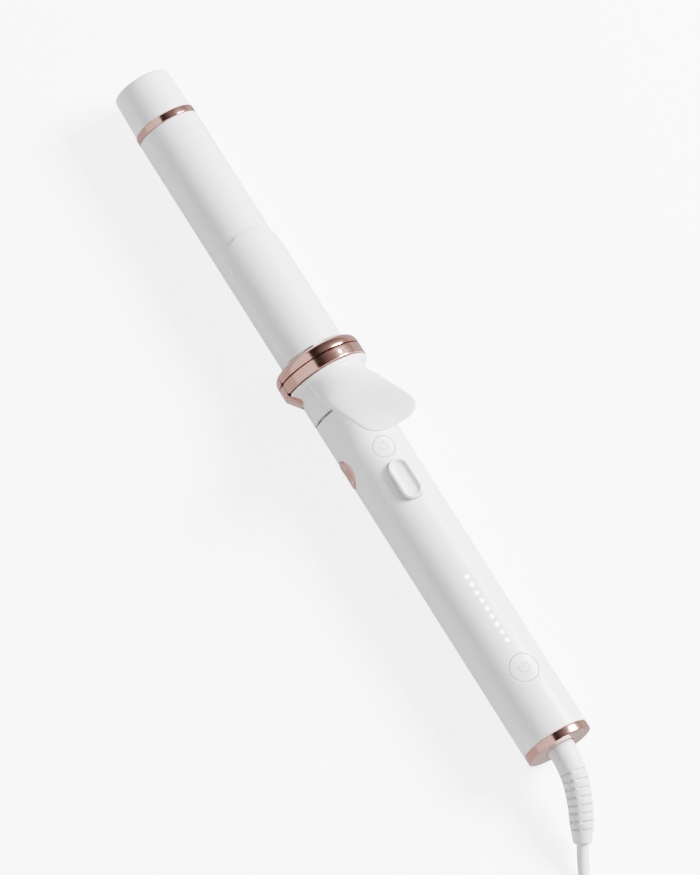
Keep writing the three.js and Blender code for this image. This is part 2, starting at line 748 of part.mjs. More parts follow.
function addHank() {
  const outline = stadium(HANK.x, 0, HANK.straight, HANK_OUTER_R);
  outline.holes.push(stadium(HANK.x, 0, HANK.straight, HANK_INNER_R, THREE.Path));
  const low = 0.05 - AXIS_Z;
  const middle = HANK.x - TAIL_X;
  const notch = block(
    [middle - TIE_HALF - 0.4, -40, -AXIS_Z - 1],
    [middle + TIE_HALF + 0.4, 40, -AXIS_Z + 1.2],
  );
  add("cord_hank", plate(outline, low, low + HANK_H).subtract(notch), "whiteRubber");

  const band = (grow, half) =>
    block(
      [middle - half, -HANK_OUTER_R - grow, -AXIS_Z + 1 - (grow - GAP)],
      [middle + half, HANK_OUTER_R + grow, -AXIS_Z + HANK_H + grow],
    );
  add("cord_tie", band(1.2, TIE_HALF).subtract(band(GAP, TIE_HALF + 1)), "black");

  const top = HANK_H + 0.05 + GAP;
  const { nose, y, halfWidth, height, bladePitch } = PLUG;
  const outlineOfPlug = new THREE.Shape();
  outlineOfPlug.moveTo(nose, -halfWidth);
  outlineOfPlug.lineTo(nose + 20, -halfWidth);
  outlineOfPlug.bezierCurveTo(nose + 26, -halfWidth, nose + 27, -5, nose + 34, -4.4);
  outlineOfPlug.lineTo(nose + 34, 4.4);
  outlineOfPlug.bezierCurveTo(nose + 27, 5, nose + 26, halfWidth, nose + 20, halfWidth);
  outlineOfPlug.lineTo(nose, halfWidth);
  outlineOfPlug.closePath();
  const plug = plate(outlineOfPlug, 0, height).translate([0, y, top + 1 - AXIS_Z]);
  add("plug_body", plug, "whiteRubber");
  const blades = [
    ["plug_blade_left", y + bladePitch / 2],
    ["plug_blade_right", y - bladePitch / 2],
  ];
  for (const [name, across] of blades) {
    const blade = new THREE.BoxGeometry(16, 1.5, 6.3);
    blade.translate(nose - 8.3, across, top + 1 + height / 2);
    add(name, solid(blade), "brass");
  }
}

addCasing();
addScrews();
addChassis();
addElectronics();
addMotor();
addGears();
addNeck();
addLowerRing();
addLever();
addButtons();
addBarrel();
addClip();
addTail();
addHank();

export default tool;
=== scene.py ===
import json
import math

import bmesh
import bpy
from mathutils import Matrix, Vector


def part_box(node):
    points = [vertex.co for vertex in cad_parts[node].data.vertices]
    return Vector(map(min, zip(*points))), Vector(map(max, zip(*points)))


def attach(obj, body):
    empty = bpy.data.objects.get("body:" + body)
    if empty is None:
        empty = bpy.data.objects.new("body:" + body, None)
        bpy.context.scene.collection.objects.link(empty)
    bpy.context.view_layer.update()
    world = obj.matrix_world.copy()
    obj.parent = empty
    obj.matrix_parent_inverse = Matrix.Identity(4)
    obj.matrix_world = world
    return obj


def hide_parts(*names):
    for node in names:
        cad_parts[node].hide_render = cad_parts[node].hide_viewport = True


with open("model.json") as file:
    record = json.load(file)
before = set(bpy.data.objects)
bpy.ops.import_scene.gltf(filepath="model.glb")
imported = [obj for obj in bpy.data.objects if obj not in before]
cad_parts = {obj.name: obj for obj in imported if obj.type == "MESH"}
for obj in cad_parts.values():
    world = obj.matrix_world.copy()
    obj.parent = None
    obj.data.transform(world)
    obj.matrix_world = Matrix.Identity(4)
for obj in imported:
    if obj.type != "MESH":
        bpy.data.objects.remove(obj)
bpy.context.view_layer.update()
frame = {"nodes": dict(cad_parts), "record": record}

MM = 0.001

# ---- Places, from the frame ----


def low(node):
    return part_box(node)[0]


def high(node):
    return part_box(node)[1]


AXIS_Z = (low("barrel_tube")[2] + high("barrel_tube")[2]) / 2
TAIL_X = low("tail_cap")[0]
TIP_X = high("tip_cap")[0]
HANDLE_R = high("casing_top")[2] - AXIS_Z
RING_R = AXIS_Z - low("lower_ring_back")[2]
BARREL_R = high("barrel_tube")[2] - AXIS_Z
CASING_WALL = 1.8 * MM
RING_BORE = 17.3 * MM
SADDLE_BORE = 15.5 * MM
MEDALLION_HOLE = 7.8 * MM
CUT_HEIGHTS = (8 * MM, 30 * MM)  # above the axis, for what is cut through the top of the casing
LIGHT_COUNT = 9


def middle(node, axis):
    return (low(node)[axis] + high(node)[axis]) / 2


def from_tail(mm):
    return TAIL_X + mm * MM


# ---- Camera ----

CAMERA_DISTANCE = 4.0
SENSOR_MM = 36.0
LENS_MM = 343.6786
TURN = math.radians(20.84)  # how far the buttons face to the right of the camera
TILT = math.radians(13.71)  # how far the tail comes towards the camera
ROLL = math.radians(32.38)  # the tool's slant in the picture
TARGET = Vector((-0.01157, 0.00591, AXIS_Z))


def add_camera():
    to_camera = Vector(
        (-math.sin(TILT), math.cos(TILT) * math.sin(TURN), math.cos(TILT) * math.cos(TURN))
    )
    along = Vector((1, 0, 0))
    up = (along - along.dot(to_camera) * to_camera).normalized()
    right = up.cross(to_camera)
    view_up = math.cos(ROLL) * up + math.sin(ROLL) * right
    view_right = math.cos(ROLL) * right - math.sin(ROLL) * up
    data = bpy.data.cameras.new("camera")
    data.sensor_fit = "VERTICAL"
    data.sensor_height = SENSOR_MM
    data.lens = LENS_MM
    data.clip_end = 50
    camera = bpy.data.objects.new("camera", data)
    turn = Matrix((view_right, view_up, to_camera)).transposed().to_4x4()
    camera.matrix_world = Matrix.Translation(TARGET + CAMERA_DISTANCE * to_camera) @ turn
    bpy.context.collection.objects.link(camera)
    bpy.context.scene.camera = camera


# ---- Materials ----


def node_material(name):
    material = bpy.data.materials.new(name)
    material.use_nodes = True
    tree = material.node_tree
    shader = tree.nodes["Principled BSDF"]
    return material, tree, shader


def noise(tree, scale, detail=3.0, roughness=0.5, stretch=(1, 1, 1)):
    place = tree.nodes.new("ShaderNodeTexCoord")
    mapping = tree.nodes.new("ShaderNodeMapping")
    mapping.inputs["Scale"].default_value = stretch
    texture = tree.nodes.new("ShaderNodeTexNoise")
    texture.inputs["Scale"].default_value = scale
    texture.inputs["Detail"].default_value = detail
    texture.inputs["Roughness"].default_value = roughness
    tree.links.new(place.outputs["Object"], mapping.inputs["Vector"])
    tree.links.new(mapping.outputs["Vector"], texture.inputs["Vector"])
    return texture.outputs["Fac"]


def spread(tree, value, bottom, top, start=0.3, end=0.7):
    """value, from start to end, as a number from bottom to top."""
    ramp = tree.nodes.new("ShaderNodeMapRange")
    ramp.inputs["From Min"].default_value = start
    ramp.inputs["From Max"].default_value = end
    ramp.inputs["To Min"].default_value = bottom
    ramp.inputs["To Max"].default_value = top
    tree.links.new(value, ramp.inputs["Value"])
    return ramp.outputs["Result"]


def blended(tree, share, first, second):
    mix = tree.nodes.new("ShaderNodeMix")
    mix.data_type = "RGBA"
    colours = [s for s in mix.inputs if s.type == "RGBA"]
    factor = next(s for s in mix.inputs if s.type == "VALUE")
    colours[0].default_value = (*first, 1)
    colours[1].default_value = (*second, 1)
    tree.links.new(share, factor)
    return next(s for s in mix.outputs if s.type == "RGBA")


def bump(tree, shader, height, strength, distance, below=None):
    node = tree.nodes.new("ShaderNodeBump")
    node.inputs["Strength"].default_value = strength
    node.inputs["Distance"].default_value = distance
    tree.links.new(height, node.inputs["Height"])
    if below is not None:
        tree.links.new(below, node.inputs["Normal"])
    tree.links.new(node.outputs["Normal"], shader.inputs["Normal"])
    return node.outputs["Normal"]


def edge_share(tree, start=0.52, end=0.62):
    """1 on convex edges and 0 elsewhere."""
    geometry = tree.nodes.new("ShaderNodeNewGeometry")
    return spread(tree, geometry.outputs["Pointiness"], 0.0, 1.0, start, end)


def moulded(name, colour, flow_tone_and_edge_highlight, rough, grain=900.0, grain_depth=0.00002, gloss=0.0):
    """Moulded plastic: a fine spark-eroded grain, faint flow marks, and convex edges painted paler as a
    painted highlight.
    """
    material, tree, shader = node_material(name)
    flow = noise(tree, 18.0, 4.0, 0.6, (0.4, 1, 1))
    shader.inputs["Metallic"].default_value = 0.0
    shader.inputs["Coat Weight"].default_value = gloss
    shader.inputs["Coat Roughness"].default_value = 0.12
    # Painted highlight: convex edges blend towards the paler second colour. The flow marks blend to the
    # same colour as real tone.
    tint = tree.nodes.new("ShaderNodeMath")
    tint.operation = "MAXIMUM"
    tree.links.new(spread(tree, flow, 0.0, 0.35), tint.inputs[0])
    tree.links.new(edge_share(tree), tint.inputs[1])
    tree.links.new(blended(tree, tint.outputs[0], colour, flow_tone_and_edge_highlight), shader.inputs["Base Color"])
    smudges = noise(tree, 45.0, 5.0, 0.65)
    tree.links.new(spread(tree, smudges, rough - 0.05, rough + 0.07), shader.inputs["Roughness"])
    fine = bump(tree, shader, noise(tree, grain, 2.0), 0.35, grain_depth)
    bump(tree, shader, flow, 0.10, 0.00012, fine)
    return material


def polished(name, colour, dark, rough):
    """Plated metal: fine circular polishing marks and faint tarnish."""
    material, tree, shader = node_material(name)
    shader.inputs["Metallic"].default_value = 1.0
    tarnish = noise(tree, 60.0, 5.0, 0.6)
    tree.links.new(
        blended(tree, spread(tree, tarnish, 0.0, 0.5), colour, dark), shader.inputs["Base Color"]
    )
    marks = noise(tree, 220.0, 4.0, 0.7, (14, 1, 1))
    tree.links.new(spread(tree, marks, rough - 0.04, rough + 0.07), shader.inputs["Roughness"])
    bump(tree, shader, marks, 0.05, 0.00002)
    return material


def add_materials():
    # Each plastic's second colour is its flow-mark tone and its painted edge highlight.
    made = {
        "white_shell": moulded("white_shell", (0.80, 0.80, 0.81), (0.86, 0.86, 0.865), 0.36, gloss=0.12),
        "white_barrel": moulded(
            "white_barrel", (0.78, 0.78, 0.79), (0.84, 0.84, 0.845), 0.30, 1500.0, 0.000012, 0.25
        ),
        "rose_gold": polished("rose_gold", (0.76, 0.42, 0.345), (0.62, 0.31, 0.25), 0.13),
        "white_rubber": moulded(
            "white_rubber", (0.74, 0.74, 0.75), (0.80, 0.80, 0.81), 0.55, 600.0, 0.00004
        ),
        "light_dot": moulded("light_dot", (0.95, 0.95, 0.95), (1.0, 1.0, 1.0), 0.30),
        "steel": polished("steel", (0.62, 0.63, 0.65), (0.45, 0.46, 0.48), 0.28),
        "brass": polished("brass", (0.78, 0.60, 0.28), (0.60, 0.44, 0.20), 0.24),
        "nylon": moulded("nylon", (0.74, 0.71, 0.64), (0.80, 0.77, 0.70), 0.50, 700.0),
        "circuit_board": moulded("circuit_board", (0.03, 0.20, 0.10), (0.06, 0.30, 0.15), 0.35, 1200.0),
        "ceramic": moulded("ceramic", (0.70, 0.66, 0.58), (0.76, 0.72, 0.65), 0.70, 500.0),
        "black_plastic": moulded("black_plastic", (0.015, 0.015, 0.017), (0.04, 0.04, 0.043), 0.45),
        "print_grey": moulded("print_grey", (0.30, 0.30, 0.31), (0.36, 0.36, 0.37), 0.45),
    }
    lit = made["light_dot"].node_tree.nodes["Principled BSDF"]
    lit.inputs["Emission Color"].default_value = (1, 1, 1, 1)
    lit.inputs["Emission Strength"].default_value = 6.0
    return made


# ---- Mesh helpers ----


def new_piece(name, points, faces, smooth_angle=35):
    mesh = bpy.data.meshes.new(name)
    mesh.from_pydata(points, [], faces)
    mesh.validate()
    piece = bpy.data.objects.new(name, mesh)
    bpy.context.collection.objects.link(piece)
    tidy_normals(piece)
    smooth(piece, smooth_angle)
    return piece


def tidy_normals(piece):
    work = bmesh.new()
    work.from_mesh(piece.data)
    bmesh.ops.remove_doubles(work, verts=work.verts, dist=1e-7)
    bmesh.ops.dissolve_degenerate(work, edges=work.edges, dist=1e-7)
    bmesh.ops.recalc_face_normals(work, faces=work.faces)
    work.to_mesh(piece.data)
    work.free()


def smooth(piece, angle=35):
    piece.data.polygons.foreach_set("use_smooth", [True] * len(piece.data.polygons))
    piece.data.set_sharp_from_angle(angle=math.radians(angle))


def round_corner(before, corner, after, radius, steps=5):
    """Points of the arc that rounds a corner of a profile."""
    a, c, b = Vector(before), Vector(corner), Vector(after)
    to_a, to_b = (a - c).normalized(), (b - c).normalized()
    half = to_a.angle(to_b) / 2
    reach = min(radius / math.tan(half), (a - c).length * 0.48, (b - c).length * 0.48)
    radius = reach * math.tan(half)
    centre = c + (to_a + to_b).normalized() * (radius / math.sin(half))
    start, end = c + to_a * reach - centre, c + to_b * reach - centre
    turn = start.angle_signed(end)
    found = []
    for i in range(steps + 1):
        angle = -turn * i / steps
        cos, sin = math.cos(angle), math.sin(angle)
        found.append(
            tuple(centre + Vector((start.x * cos - start.y * sin, start.x * sin + start.y * cos)))
        )
    return found


def rounded(profile, radius, closed=True):
    """A profile of (x, radius) points with its corners rounded. radius is one number or one a point."""
    count = len(profile)
    sizes = radius if isinstance(radius, (list, tuple)) else [radius] * count
    found = []
    for i, point in enumerate(profile):
        if sizes[i] <= 0 or not closed and i in (0, count - 1):
            found.append(point)
            continue
        found += round_corner(profile[i - 1], point, profile[(i + 1) % count], sizes[i])
    return found


def turned(name, profile, segments=160, closed=True, from_deg=-180.0, to_deg=180.0, end_radius=0.0):
    """A body turned about the tool's axis from (x, radius) points.

    Angles are from straight up, positive towards +Y. end_radius rounds the corners of its two ends."""
    whole = to_deg - from_deg >= 360
    steps = segments if whole else max(8, round(segments * (to_deg - from_deg) / 360))
    columns = steps if whole else steps + 1
    points = []
    first, last = min(x for x, _ in profile), max(x for x, _ in profile)
    middle_deg, half_deg = (from_deg + to_deg) / 2, (to_deg - from_deg) / 2
    for j in range(columns):
        for x, r in profile:
            short = max(0.0, end_radius - min(x - first, last - x))
            pull = end_radius - math.sqrt(max(0.0, end_radius**2 - short**2))
            reach = half_deg - math.degrees(pull / RING_R)
            angle = math.radians(middle_deg + reach * (2 * j / steps - 1))
            points.append((x, r * math.sin(angle), AXIS_Z + r * math.cos(angle)))
    rows = len(profile)
    faces = []
    for j in range(steps):
        k = (j + 1) % columns
        for i in range(rows if closed else rows - 1):
            n = (i + 1) % rows
            faces.append((j * rows + i, j * rows + n, k * rows + n, k * rows + i))
    if not whole:
        faces.append(tuple(range(rows)))
        faces.append(tuple(reversed(range((columns - 1) * rows, columns * rows))))
    return new_piece(name, points, faces)


def modify(piece, kind, **settings):
    modifier = piece.modifiers.new(kind.lower(), kind)
    for key, value in settings.items():
        setattr(modifier, key, value)
    return modifier


def apply_modifiers(piece):
    graph = bpy.context.evaluated_depsgraph_get()
    made = bpy.data.meshes.new_from_object(piece.evaluated_get(graph))
    piece.modifiers.clear()
    piece.data = made


def cut(piece, tools, operation="DIFFERENCE"):
    for tool in tools:
        modify(piece, "BOOLEAN", operation=operation, object=tool, solver="EXACT")
        apply_modifiers(piece)
        bpy.data.objects.remove(tool)
    tidy_normals(piece)


def join(piece, others):
    """Adds other closed bodies to a piece. A voxel remesh then makes them one."""
    work = bmesh.new()
    for part in (piece, *others):
        work.from_mesh(part.data)
    work.to_mesh(piece.data)
    work.free()
    for part in others:
        bpy.data.objects.remove(part)


def soften(piece, width, segments=3, angle=40):
    modify(
        piece, "BEVEL", width=width, segments=segments, limit_method="ANGLE",
        angle_limit=math.radians(angle), use_clamp_overlap=True, harden_normals=False,
    )
    apply_modifiers(piece)
    smooth(piece, 45)


def outline_plate(name, outline, bottom, top):
    """A flat outline of (x, y) points, pulled up between two heights above the axis."""
    count = len(outline)
    points = [(x, y, AXIS_Z + z) for z in (bottom, top) for x, y in outline]
    faces = [tuple(reversed(range(count))), tuple(range(count, 2 * count))]
    faces += [(i, (i + 1) % count, count + (i + 1) % count, count + i) for i in range(count)]
    return new_piece(name, points, faces)


def circle(x, y, radius, count=64):
    return [
        (x + radius * math.cos(2 * math.pi * i / count), y + radius * math.sin(2 * math.pi * i / count))
        for i in range(count)
    ]


def stadium(x, y, straight, radius, count=24):
    points = []
    for side, start in ((1, -90), (-1, 90)):
        centre = x + side * straight / 2
        for i in range(count + 1):
            angle = math.radians(start + 180 * i / count)
            points.append((centre + radius * math.cos(angle), y + radius * math.sin(angle)))
    return points


def tube_faces(rows, columns):
    """Faces of a closed body whose sections are loops of columns points, with both ends shut."""
    faces = []
    for i in range(rows):
        for j in range(columns):
            n = (j + 1) % columns
            faces.append((i * columns + j, i * columns + n, (i + 1) * columns + n, (i + 1) * columns + j))
    faces.append(tuple(reversed(range(columns))))
    faces.append(tuple(range(rows * columns, (rows + 1) * columns)))
    return faces


def ring_faces(first, rings, count):
    """Quads between rings of count points each, from point number first on."""
    return [
        (base + i, base + count + i, base + count + (i + 1) % count, base + (i + 1) % count)
        for base in range(first, first + (rings - 1) * count, count)
        for i in range(count)
    ]


def strip_faces(count, closed):
    """The four sides of a strip with four points at each of its count stations."""
    faces = []
    for i in range(count if closed else count - 1):
        n = (i + 1) % count
        for k in range(4):
            m = (k + 1) % 4
            faces.append((i * 4 + k, n * 4 + k, n * 4 + m, i * 4 + m))
    return faces


def between(p, q, r, s, t):
    """A point on the smooth curve from q to r, with p before them and s after them."""
    return 0.5 * (
        2 * q + (r - p) * t + (2 * p - 5 * q + 4 * r - s) * t * t + (3 * q - p - 3 * r + s) * t**3
    )


def dress(piece, body, slot, *nodes):
    """Gives a piece its material and body, and hides the CAD nodes it replaces. A printed mark counts as
    part of the shell.
    """
    piece.data.materials.clear()
    piece.data.materials.append(MATERIALS[slot])
    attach(piece, body)
    if nodes:
        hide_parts(*nodes)
    return piece


# ---- Mains lead ----

CORD_R = 3 * MM
ROUTE = [
    (-193.5, 0, 22.6), (-200, 0.2, 22.5), (-208, 1.2, 21.6), (-216, 3.2, 19.4), (-224, 6, 16.2),
    (-232, 9.4, 12.4), (-239.5, 13, 8.8), (-246.5, 16.4, 5.9), (-254, 19.6, 4), (-262, 22.2, 3.15),
    (-270, 23.5, 3.05), (-278, 24, 3.05), (-286, 24, 3.05), (-296, 24, 3.05), (-306, 24, 3.05),
]
HANK_X = -354 * MM
HANK_STRAIGHT = 96 * MM
TURN_RADII = [24 * MM, 18 * MM]
HANK_LAYERS = 4
RELIEF_LENGTH = 48 * MM


def racetrack(share, radius):
    """A point on one turn of the hank, from the near end of its +Y run, and back round."""
    run, bend = HANK_STRAIGHT, math.pi * radius
    at = share * 2 * (run + bend)
    half = run / 2
    if at < run:
        return HANK_X + half - at, radius
    at -= run
    if at < bend:
        angle = math.pi / 2 + at / radius
        return HANK_X - half + radius * math.cos(angle), radius * math.sin(angle)
    at -= bend
    if at < run:
        return HANK_X - half + at, -radius
    at -= run
    angle = -math.pi / 2 + at / radius
    return HANK_X + half + radius * math.cos(angle), radius * math.sin(angle)


def hank_points():
    """The lead's turns: each layer runs an outer and an inner turn, then climbs to the next."""
    points = []
    steps = 44
    turns = []
    for layer in range(HANK_LAYERS):
        order = TURN_RADII if layer % 2 == 0 else TURN_RADII[::-1]
        turns += [(radius, layer) for radius in order]
    for number, (radius, layer) in enumerate(turns):
        following = turns[min(number + 1, len(turns) - 1)]
        for i in range(steps):
            share = i / steps
            change = max(0.0, (share - 0.72) / 0.28)
            ease = change * change * (3 - 2 * change)
            r = radius + (following[0] - radius) * ease
            height = layer + (following[1] - layer) * ease
            x, y = racetrack(share, r)
            points.append((x, y, CORD_R + 0.05 * MM + height * 2 * CORD_R))
    return points


def lift_over_tie(point):
    """The lowest turns rise a little where the tie passes under them."""
    x, y, z = point
    away = abs(x - HANK_X) / (22 * MM)
    if away >= 1:
        return point
    share = (1 + math.cos(math.pi * away)) / 2
    return x, y, z + 1.1 * MM * share * max(0.0, 1 - (z - CORD_R) / (6 * CORD_R))


def add_cord():
    first_x = TAIL_X - RELIEF_LENGTH * 0.78
    last_x = HANK_X + HANK_STRAIGHT / 2 + 2 * MM
    route = [tuple(v * MM for v in p) for p in ROUTE if last_x < p[0] * MM < first_x]
    turns = [lift_over_tie(p) for p in hank_points()]
    end_x, end_y, end_z = turns[-1]
    plug_back = high("plug_body")[0]
    plug_y = middle("plug_body", 1)
    plug_z = middle("plug_body", 2)
    lead_out = [
        (end_x - 8 * MM, end_y + 3 * MM, end_z + 2 * MM),
        (end_x - 22 * MM, plug_y + 3 * MM, end_z + 6 * MM),
        (plug_back + 12 * MM, plug_y + 0.5 * MM, plug_z + 0.3 * MM),
        (plug_back - 3 * MM, plug_y, plug_z),
    ]
    points = route + turns + lead_out
    curve = bpy.data.curves.new("mains_lead", "CURVE")
    curve.dimensions = "3D"
    curve.bevel_depth = CORD_R
    curve.bevel_resolution = 5
    curve.resolution_u = 4
    strand = curve.splines.new("NURBS")
    strand.points.add(len(points) - 1)
    for target, point in zip(strand.points, points):
        target.co = (*point, 1)
    strand.order_u = 4
    strand.use_endpoint_u = True
    lead = bpy.data.objects.new("mains_lead", curve)
    bpy.context.collection.objects.link(lead)
    length = sum((Vector(b) - Vector(a)).length for a, b in zip(points, points[1:]))
    dress(lead, "handle", "white_rubber", "cord_free_stretch", "cord_hank")
    return lead, route[0], length


# ---- Floor and lights ----

WORLD_STRENGTH = 0.62
KEY_POWER = 350
FLOOR_GLOW = 5.0  # only the camera sees it
FLOOR_MIRRORED = 0.85  # the floor's brightness in reflections
STUDIO_STRENGTH = 1.7
# The studio that reflections see: its brightness from the left of the tool to its right.
STUDIO_ENDS = (0.75, 0.3)
STUDIO_STOPS = ((0.15, 0.8), (0.46, 1.0), (0.485, 0.01), (0.60, 0.02), (0.72, 0.10), (0.86, 0.18))


def add_floor():
    size = 6.0
    points = [(-size, -size, 0), (size, -size, 0), (size, size, 0), (-size, size, 0)]
    floor = new_piece("floor", points, [(0, 1, 2, 3)])
    material, tree, shader = node_material("floor")
    shader.inputs["Roughness"].default_value = 0.9
    shader.inputs["Specular IOR Level"].default_value = 0.1
    tree.links.new(
        blended(tree, spread(tree, noise(tree, 2.0), 0.0, 1.0), (0.93, 0.93, 0.93), (0.94, 0.94, 0.94)),
        shader.inputs["Base Color"],
    )
    path = tree.nodes.new("ShaderNodeLightPath")
    glow = tree.nodes.new("ShaderNodeMath")
    glow.operation = "MULTIPLY"
    glow.inputs[1].default_value = FLOOR_GLOW
    tree.links.new(path.outputs["Is Camera Ray"], glow.inputs[0])
    tree.links.new(glow.outputs[0], shader.inputs["Emission Strength"])
    shader.inputs["Emission Color"].default_value = (1, 1, 1, 1)
    mirrored = tree.nodes.new("ShaderNodeEmission")
    mirrored.inputs["Strength"].default_value = FLOOR_MIRRORED
    pick = tree.nodes.new("ShaderNodeMixShader")
    tree.links.new(path.outputs["Is Glossy Ray"], pick.inputs["Fac"])
    tree.links.new(shader.outputs["BSDF"], pick.inputs[1])
    tree.links.new(mirrored.outputs["Emission"], pick.inputs[2])
    tree.links.new(pick.outputs["Shader"], tree.nodes["Material Output"].inputs["Surface"])
    floor.data.materials.append(material)


def area_light(name, place, target, size, power):
    data = bpy.data.lights.new(name, "AREA")
    data.energy = power
    data.size = size
    light = bpy.data.objects.new(name, data)
    light.location = place
    light.rotation_euler = (Vector(target) - Vector(place)).to_track_quat("-Z", "Y").to_euler()
    bpy.context.collection.objects.link(light)


def add_lights():
    """Soft, even light for the scene, and a studio of one bright and one dark side in reflections."""
    world = bpy.data.worlds.new("studio")
    world.use_nodes = True
    tree = world.node_tree
    even = tree.nodes["Background"]
    even.inputs["Color"].default_value = (1, 1, 1, 1)
    even.inputs["Strength"].default_value = WORLD_STRENGTH
    place = tree.nodes.new("ShaderNodeTexCoord")
    across = tree.nodes.new("ShaderNodeVectorMath")
    across.operation = "DOT_PRODUCT"
    across.inputs[1].default_value = (0, -math.cos(TURN), math.sin(TURN))
    tree.links.new(place.outputs["Generated"], across.inputs[0])
    share = tree.nodes.new("ShaderNodeMapRange")
    share.inputs["From Min"].default_value = -1
    share.inputs["From Max"].default_value = 1
    tree.links.new(across.outputs["Value"], share.inputs["Value"])
    ramp = tree.nodes.new("ShaderNodeValToRGB")
    stops = ramp.color_ramp.elements
    for stop, position, value in zip(stops, (0.0, 1.0), STUDIO_ENDS):
        stop.position = position
        stop.color = (value, value, value, 1)
    for position, value in STUDIO_STOPS:
        stops.new(position).color = (value, value, value, 1)
    tree.links.new(share.outputs["Result"], ramp.inputs["Fac"])
    studio = tree.nodes.new("ShaderNodeBackground")
    studio.inputs["Strength"].default_value = STUDIO_STRENGTH
    tree.links.new(ramp.outputs["Color"], studio.inputs["Color"])
    path = tree.nodes.new("ShaderNodeLightPath")
    pick = tree.nodes.new("ShaderNodeMixShader")
    tree.links.new(path.outputs["Is Glossy Ray"], pick.inputs["Fac"])
    tree.links.new(even.outputs["Background"], pick.inputs[1])
    tree.links.new(studio.outputs["Background"], pick.inputs[2])
    tree.links.new(pick.outputs["Shader"], tree.nodes["World Output"].inputs["Surface"])
    bpy.context.scene.world = world
    area_light("key", (-0.1, -1.75, 1.5), (0, 0, 0), 0.9, KEY_POWER)


# ---- Handle ----


def controls_cutters():
    tools = []
    for node in ("power_button", "mode_button"):
        radius = (high(node)[1] - low(node)[1]) / 2 + 0.35 * MM
        tools.append(outline_plate("cutter", circle(middle(node, 0), 0, radius, 96), *CUT_HEIGHTS))
    key_r = (high("rocker_key")[1] - low("rocker_key")[1]) / 2
    straight = high("rocker_key")[0] - low("rocker_key")[0] - 2 * key_r
    tools.append(
        outline_plate(
            "cutter", stadium(middle("rocker_key", 0), 0, straight, key_r + 0.4 * MM, 32), *CUT_HEIGHTS
        )
    )
    for i in range(LIGHT_COUNT):
        tools.append(outline_plate("cutter", circle(light_x(i), 0, 1.15 * MM, 32), *CUT_HEIGHTS))
    return tools


def light_x(i):
    first, last = low("light_guide")[0] + 3 * MM, high("light_guide")[0] - 3 * MM
    return first + (last - first) * i / (LIGHT_COUNT - 1)


def medallion_cutter():
    x, z = middle("side_medallion", 0), middle("side_medallion", 2)
    count = 96
    points = [(px, y, pz) for y in CUT_HEIGHTS for px, pz in circle(x, z, MEDALLION_HOLE, count)]
    faces = [tuple(range(count)), tuple(reversed(range(count, 2 * count)))]
    faces += [(i, (i + 1) % count, count + (i + 1) % count, count + i) for i in range(count)]
    return new_piece("cutter", points, faces)


def add_casing():
    start, end = low("casing_top")[0], low("collar_underside")[0] - 0.45 * MM
    inner = HANDLE_R - CASING_WALL
    profile = rounded(
        [(start, inner), (start, HANDLE_R), (end, HANDLE_R), (end - 2.5 * MM, inner)],
        [0, 0.25 * MM, 0.35 * MM, 0],
    )
    # Extra rings along the outside keep the shell's quads short, so that cuts shade cleanly.
    dense = []
    for a, b in zip(profile, profile[1:] + profile[:1]):
        steps = max(1, round(abs(b[0] - a[0]) / (4 * MM)))
        dense += [tuple(Vector(a).lerp(Vector(b), i / steps)) for i in range(steps)]
    seam = 0.45
    top = turned("casing_top_shell", dense, 200, True, -90 + seam, 90 - seam)
    cut(top, controls_cutters() + [medallion_cutter()])
    soften(top, 0.22 * MM)
    dress(top, "handle", "white_shell", "casing_top")
    bottom = turned("casing_bottom_shell", dense, 200, True, 90 + seam, 270 - seam)
    holes = []
    for node in ("casing_screw_1", "casing_screw_2"):
        holes.append(outline_plate("cutter", circle(middle(node, 0), 0, 1.5 * MM, 40), -30 * MM, -8 * MM))
    cut(bottom, holes + [medallion_cutter()])
    soften(bottom, 0.22 * MM)
    dress(bottom, "handle", "white_shell", "casing_bottom")


def add_tail_cap():
    start, end = low("tail_cap")[0], from_tail(4.1)
    profile = rounded(
        [
            (start, 7.4 * MM), (start, HANDLE_R), (end, HANDLE_R), (end, 14.6 * MM),
            (from_tail(7), 14.6 * MM), (from_tail(7), 12.8 * MM), (from_tail(2.4), 12.8 * MM),
            (from_tail(2.4), 7.4 * MM),
        ],
        [0.3 * MM, 0.6 * MM, 0.15 * MM, 0.1 * MM, 0.1 * MM, 0.1 * MM, 0.1 * MM, 0.1 * MM],
    )
    cap = turned("tail_cap_plate", profile, 220)
    dress(cap, "handle", "rose_gold", "tail_cap")


def add_medallion():
    x, z = middle("side_medallion", 0), middle("side_medallion", 2)
    rings = [
        (0.0, 0.1), (0.9, 0.06), (1.7, -0.12), (2.3, -0.5), (2.6, -0.62), (3.4, -0.66), (4.4, -0.6),
        (5.1, -0.42), (5.5, -0.1), (5.75, 0.18), (6.1, 0.36), (6.6, 0.42), (7.0, 0.34), (7.3, 0.12),
        (7.45, -0.15), (7.5, -0.4), (7.5, -2.0),
    ]
    count = 96
    points = [(x, math.sqrt(HANDLE_R**2 - (z - AXIS_Z) ** 2) + 0.1 * MM, z)]
    for radius, lift in rings[1:]:
        for i in range(count):
            angle = 2 * math.pi * i / count
            px, pz = x + radius * MM * math.cos(angle), z + radius * MM * math.sin(angle)
            surface = math.sqrt(HANDLE_R**2 - (pz - AXIS_Z) ** 2)
            points.append((px, surface + lift * MM, pz))
    faces = [(0, 1 + i, 1 + (i + 1) % count) for i in range(count)]
    faces += ring_faces(1, len(rings) - 1, count)
    last = 1 + (len(rings) - 2) * count
    faces.append(tuple(last + i for i in range(count)))
    badge = new_piece("side_medallion_disc", points, faces, 30)
    dress(badge, "handle", "rose_gold", "side_medallion")


